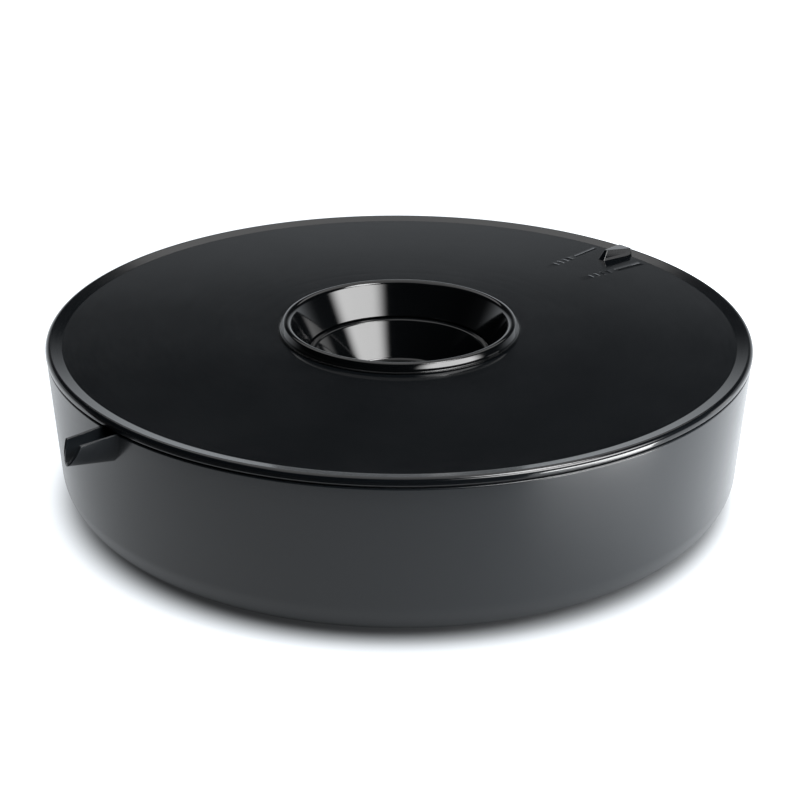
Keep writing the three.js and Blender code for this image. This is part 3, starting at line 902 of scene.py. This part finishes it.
def screw_mesh(centre):
    """A screw with a domed cross head below the tub's floor and its thread up in the boss."""
    head = FLOOR_UNDER - CLEARANCE
    core = SHANK - THREAD_DEPTH
    profile = [
        (0, head - HEAD_DEPTH), (2.9, head - HEAD_DEPTH, 1.0), (HEAD_RADIUS, head - 1.1, 0.6),
        (HEAD_RADIUS, head, 0.2), (SHANK, head),
    ]
    z = head + 1.2
    while z < BOSS_TOP - 4.2:
        profile += [(core, z), (SHANK, z + 0.35), (SHANK, z + 0.5), (core, z + 0.85)]
        z += THREAD_PITCH
    profile += [(1.2, BOSS_TOP - 3.5), (0, BOSS_TOP - 2.6)]
    body = turned(rounded(profile, closed=False), 32, centre)
    for half_x, half_y in (CROSS_HALVES, CROSS_HALVES[::-1]):
        slot = [
            [(centre[0] + sx * half_x * share, centre[1] + sy * half_y * share, z)
             for sx, sy in ((-1, -1), (1, -1), (1, 1), (-1, 1))]
            for z, share in ((head - HEAD_DEPTH - 0.4, 1.0), (head - 0.7, 0.6))
        ]
        body = combined(body, lofted(slot), "DIFFERENCE")
    return body


def foot_mesh(centre):
    """A round pad with grooves in its underside."""
    grooves = []
    for radius in FOOT_GROOVES:
        grooves += [(radius + 0.7, 0.0, 0.15), (radius + 0.5, 0.5, 0.15), (radius - 0.5, 0.5, 0.15),
                    (radius - 0.7, 0.0, 0.15)]
    outline = rounded([
        (0, FOOT_TOP), (FOOT_RADIUS, FOOT_TOP, 0.2), (FOOT_RADIUS, 0.5, 0.3),
        (FOOT_RADIUS - 0.6, 0, 0.3), *grooves, (0, 0),
    ], closed=False, step=20.0)
    return turned(outline, 48, centre)


for k, spot in enumerate(SCREW_SPOTS):
    piece(f"well_screw_{k + 1}_cross", screw_mesh(spot), steel, "base", [f"well_screw_{k + 1}"])

for k in range(6):
    spot = at(60 * k, FOOT_CIRCLE)[:2]
    piece(f"foot_{k + 1}_pad", foot_mesh(spot), black_rubber, "base", [f"foot_{k + 1}"])


# ------------------------------------------------------------------ floor, lights and camera, in metres

STAND_MIDDLE = (0.0, 0.0, 0.1)
FRONT_RIM = (0.127, -0.215, 0.116)
POINTER_PLACE = (0.172, 0.152, 0.12)
FLOOR_HALF = 30.0
FLOOR_GLOW = 0.84
FLOOR_SEEN = 1.3                  # how much brighter the camera sees the floor than the stand does
CAMERA_PLACE = (0.0006, -1.2652, 0.6207)
CAMERA_PITCH = math.radians(23.88)
CAMERA_ROLL = math.radians(-0.26)
SKY_LEVELS = (                    # elevation in degrees, brightness
    (0.0, 0.95), (13.0, 0.85), (17.5, 0.42), (18.8, 0.26),
    (19.7, 0.17), (20.5, 0.11), (22.0, 0.02), (30.0, 0.008),
)


def stage_piece(name, bm, material):
    """An object of the set, which isn't part of the stand."""
    mesh = bpy.data.meshes.new(name)
    bm.to_mesh(mesh)
    bm.free()
    mesh.materials.append(material)
    made = bpy.data.objects.new(name, mesh)
    bpy.context.scene.collection.objects.link(made)
    return made


def rectangle(width, depth):
    """A flat rectangle about the origin."""
    bm = bmesh.new()
    bmesh.ops.create_grid(bm, x_segments=1, y_segments=1, size=0.5)
    bmesh.ops.scale(bm, vec=(width, depth, 1.0), verts=bm.verts)
    return bm


def floor():
    """A pale floor that glows by itself: the glow dies out under the stand as a painted contact shadow,
    and is stronger at both sides as painted pools of light.
    """
    pale = Finish("pale_floor", {
        "Base Color": (0.10, 0.105, 0.11, 1.0),
        "Roughness": 0.7,
        "Emission Color": (0.96, 1.0, 1.04, 1.0),
    })
    across = pale.split(pale.place)["X"]
    pale.link(pale.maths(
        "MULTIPLY",
        # the glow dies out under the stand: a painted contact shadow
        pale.ranged(pale.length(pale.place), 0.02, FLOOR_GLOW, 0.225, 0.262, "SMOOTHSTEP"),
        # stronger at the right and the left: painted pools of light that the stand's polished faces
        # reflect
        pale.ranged(across, 1.0, 1.65, 0.13, 0.31, "SMOOTHSTEP"),
        pale.ranged(across, 1.4, 1.0, -0.45, -0.30, "SMOOTHSTEP"),
        pale.ranged(pale.add("ShaderNodeLightPath").outputs["Is Camera Ray"], 1.0, FLOOR_SEEN, 0.0, 1.0),
    ), pale.shader.inputs["Emission Strength"])
    stage_piece("floor", rectangle(2 * FLOOR_HALF, 2 * FLOOR_HALF), pale.material)


def black_card(radius, height, start, end, steps=24):
    """A curved dark card round the front of the stand, that only its polished faces see."""
    bm = bmesh.new()
    azimuths = [start + (end - start) * k / steps for k in range(steps + 1)]
    low, high = ([bm.verts.new(at(azimuth, radius, z)) for azimuth in azimuths] for z in (0.002, height))
    for k in range(steps):
        bm.faces.new((low[k], low[k + 1], high[k + 1], high[k]))
    felt = Finish("black_felt", {"Base Color": (0.01, 0.01, 0.01, 1.0), "Roughness": 1.0})
    made = stage_piece("black_card", bm, felt.material)
    made.visible_camera = made.visible_diffuse = made.visible_shadow = False


def place_light(made, azimuth, elevation, distance, target, roll=0.0):
    """Puts a light or a card off the target in a direction, facing it, out of the camera's sight."""
    a, e = math.radians(azimuth), math.radians(elevation)
    away = Vector((math.cos(a) * math.cos(e), math.sin(a) * math.cos(e), math.sin(e)))
    made.location = Vector(target) + away * distance
    turn = away.to_track_quat("Z", "Y") @ Quaternion((0.0, 0.0, 1.0), math.radians(roll))
    made.rotation_euler = turn.to_euler()
    made.visible_camera = False


def softbox(name, azimuth, elevation, distance, size, radiance, target):
    """An area light of a given brightness, aimed at a point from a direction."""
    light = bpy.data.lights.new(name, "AREA")
    light.shape = "RECTANGLE"
    light.size, light.size_y = size
    light.energy = radiance * math.pi * size[0] * size[1]
    made = bpy.data.objects.new(name, light)
    bpy.context.scene.collection.objects.link(made)
    place_light(made, azimuth, elevation, distance, target)


def soft_window(azimuth, elevation, distance, size, radiance, roll):
    """A card that glows in its middle and fades to its edge, for reflections with soft ends."""
    glow = Finish("window_glow", {
        "Base Color": (0.0, 0.0, 0.0, 1.0),
        "Specular IOR Level": 0.0,
        "Emission Color": (1.0, 1.0, 1.0, 1.0),
    })
    to_edge = glow.length(glow.stretched(glow.place, (2 / size[0], 2 / size[1], 0.0)))
    glow.link(glow.ranged(to_edge, radiance, 0.0, 0.45, 1.0, "SMOOTHSTEP"),
              glow.shader.inputs["Emission Strength"])
    made = stage_piece("soft_window", rectangle(*size), glow.material)
    place_light(made, azimuth, elevation, distance, STAND_MIDDLE, roll)
    made.visible_shadow = False


def sky():
    """A backdrop, pale near the horizon and dark above, that is dim except beyond the stand.

    The camera sees all of it at full strength.
    """
    world = bpy.data.worlds.new("studio")
    world.use_nodes = True
    studio = Nodes(world.node_tree)
    background = studio.tree.nodes["Background"]
    direction = studio.split(studio.add("ShaderNodeTexCoord").outputs["Generated"])
    ramp = studio.add("ShaderNodeValToRGB")
    stops = ramp.color_ramp.elements
    while len(stops) < len(SKY_LEVELS):
        stops.new(1.0)
    for stop, (elevation, level) in zip(stops, SKY_LEVELS):
        stop.position = math.sin(math.radians(elevation))
        stop.color = (0.95 * level, level, 1.05 * level, 1.0)
    studio.link(direction["Z"], ramp.inputs["Fac"])
    studio.link(ramp.outputs["Color"], background.inputs["Color"])
    studio.link(studio.maths(
        "MAXIMUM",
        studio.ranged(direction["Y"], 0.06, 1.0, 0.25, 0.75, "SMOOTHSTEP"),
        studio.add("ShaderNodeLightPath").outputs["Is Camera Ray"],
    ), background.inputs["Strength"])
    bpy.context.scene.world = world


def camera():
    """A long lens that looks down on the stand from the front."""
    made = bpy.data.objects.new("camera", bpy.data.cameras.new("camera"))
    bpy.context.scene.collection.objects.link(made)
    made.data.sensor_width = 36.0
    made.data.lens = 85.5
    made.data.clip_start = 0.05
    made.data.clip_end = 60.0
    forward = Vector((0.0, math.cos(CAMERA_PITCH), -math.sin(CAMERA_PITCH)))
    level_up = Vector((0.0, math.sin(CAMERA_PITCH), math.cos(CAMERA_PITCH)))
    level_right = Vector((1.0, 0.0, 0.0))
    right = level_right * math.cos(CAMERA_ROLL) - level_up * math.sin(CAMERA_ROLL)
    up = level_right * math.sin(CAMERA_ROLL) + level_up * math.cos(CAMERA_ROLL)
    turn = Matrix((right, up, -forward)).transposed()
    made.matrix_world = Matrix.Translation(CAMERA_PLACE) @ turn.to_4x4()
    bpy.context.scene.camera = made


floor()
black_card(radius=0.43, height=0.16, start=-62, end=-172)
sky()
soft_window(azimuth=-36, elevation=34, distance=1.7, size=(2.2, 0.95), radiance=15.0, roll=-14)
for name, azimuth, elevation, distance, size, radiance, target in (
    ("high_right", -24, 62, 1.5, (0.6, 0.5), 20.0, STAND_MIDDLE),
    ("low_right", -27, -19, 0.26, (0.26, 0.1), 22.0, FRONT_RIM),
    ("side_fill", -25, 2, 0.35, (0.14, 0.09), 1.8, POINTER_PLACE),
    ("overhead", 90, 70, 2.0, (2.0, 2.9), 1.2, STAND_MIDDLE),
):
    softbox(name, azimuth, elevation, distance, size, radiance, target)
camera()
bpy.context.scene.view_settings.view_transform = "Standard"

bpy.context.view_layer.update()
